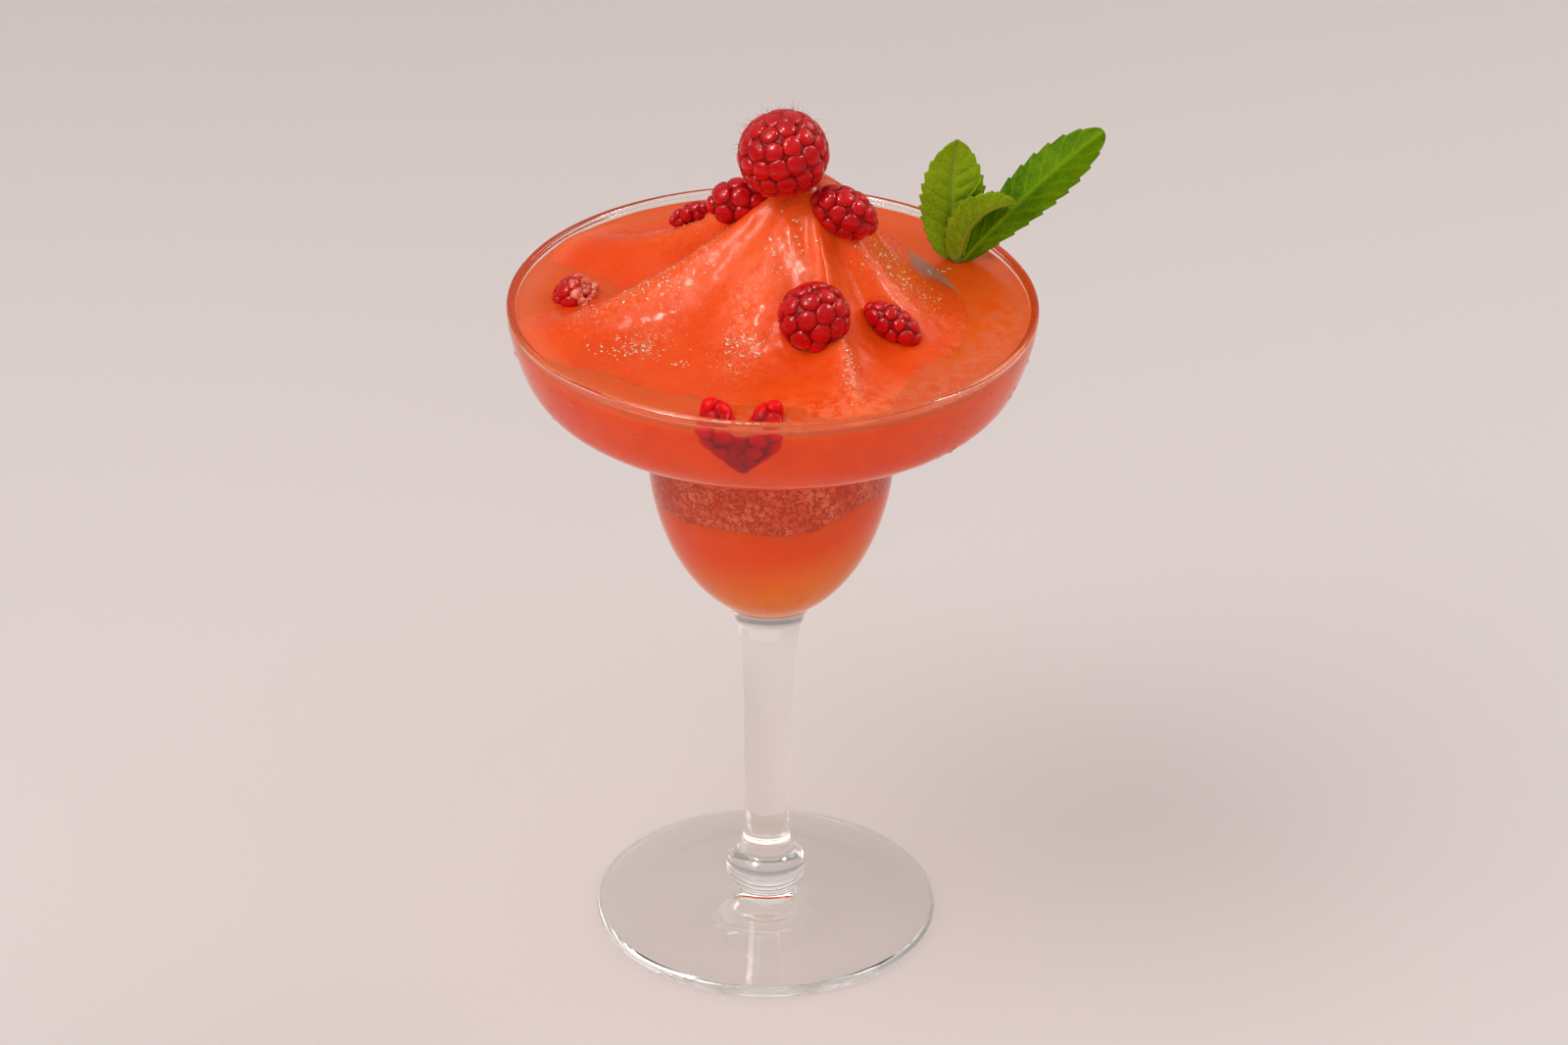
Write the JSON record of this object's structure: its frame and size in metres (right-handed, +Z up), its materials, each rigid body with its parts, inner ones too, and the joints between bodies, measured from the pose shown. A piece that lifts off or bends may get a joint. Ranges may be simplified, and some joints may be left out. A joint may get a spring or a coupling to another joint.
{
  "type": "frozen margarita",
  "caption": "Frozen fruit cocktail heaped in a stepped stem glass, topped with raspberries and a sprig of mint.",
  "frame": {"origin": "centre of the flat ring under the foot, where the glass stands on the table", "axes": "+Z up along the glass's axis, -Y the front of the drink, +X to the right, where the mint stands"},
  "size_m": [0.128, 0.114, 0.1972],
  "materials": {
    "clear_glass": "clear, polished",
    "amber_liquid": "translucent amber drink",
    "pink_froth": "fine wet froth",
    "orange_slush": "wet frozen slush",
    "thin_pool": "thinned wet drink",
    "raspberry_skin": "wet fruit skin",
    "mint_leaf": "soft leaf"
  },
  "bodies": {
    "root": {"glass": "clear_glass", "amber_drink": "amber_liquid", "froth_band": "pink_froth", "slush": "orange_slush", "pool": "thin_pool", "raspberry_top": "raspberry_skin", "raspberry_peak_left": "raspberry_skin", "raspberry_peak_right": "raspberry_skin", "raspberry_left": "raspberry_skin", "raspberry_front_centre": "raspberry_skin", "raspberry_front_right": "raspberry_skin", "raspberry_fragment": "raspberry_skin", "raspberry_heart": "raspberry_skin", "mint_sprig": "mint_leaf"}
  },
  "joints": []
}
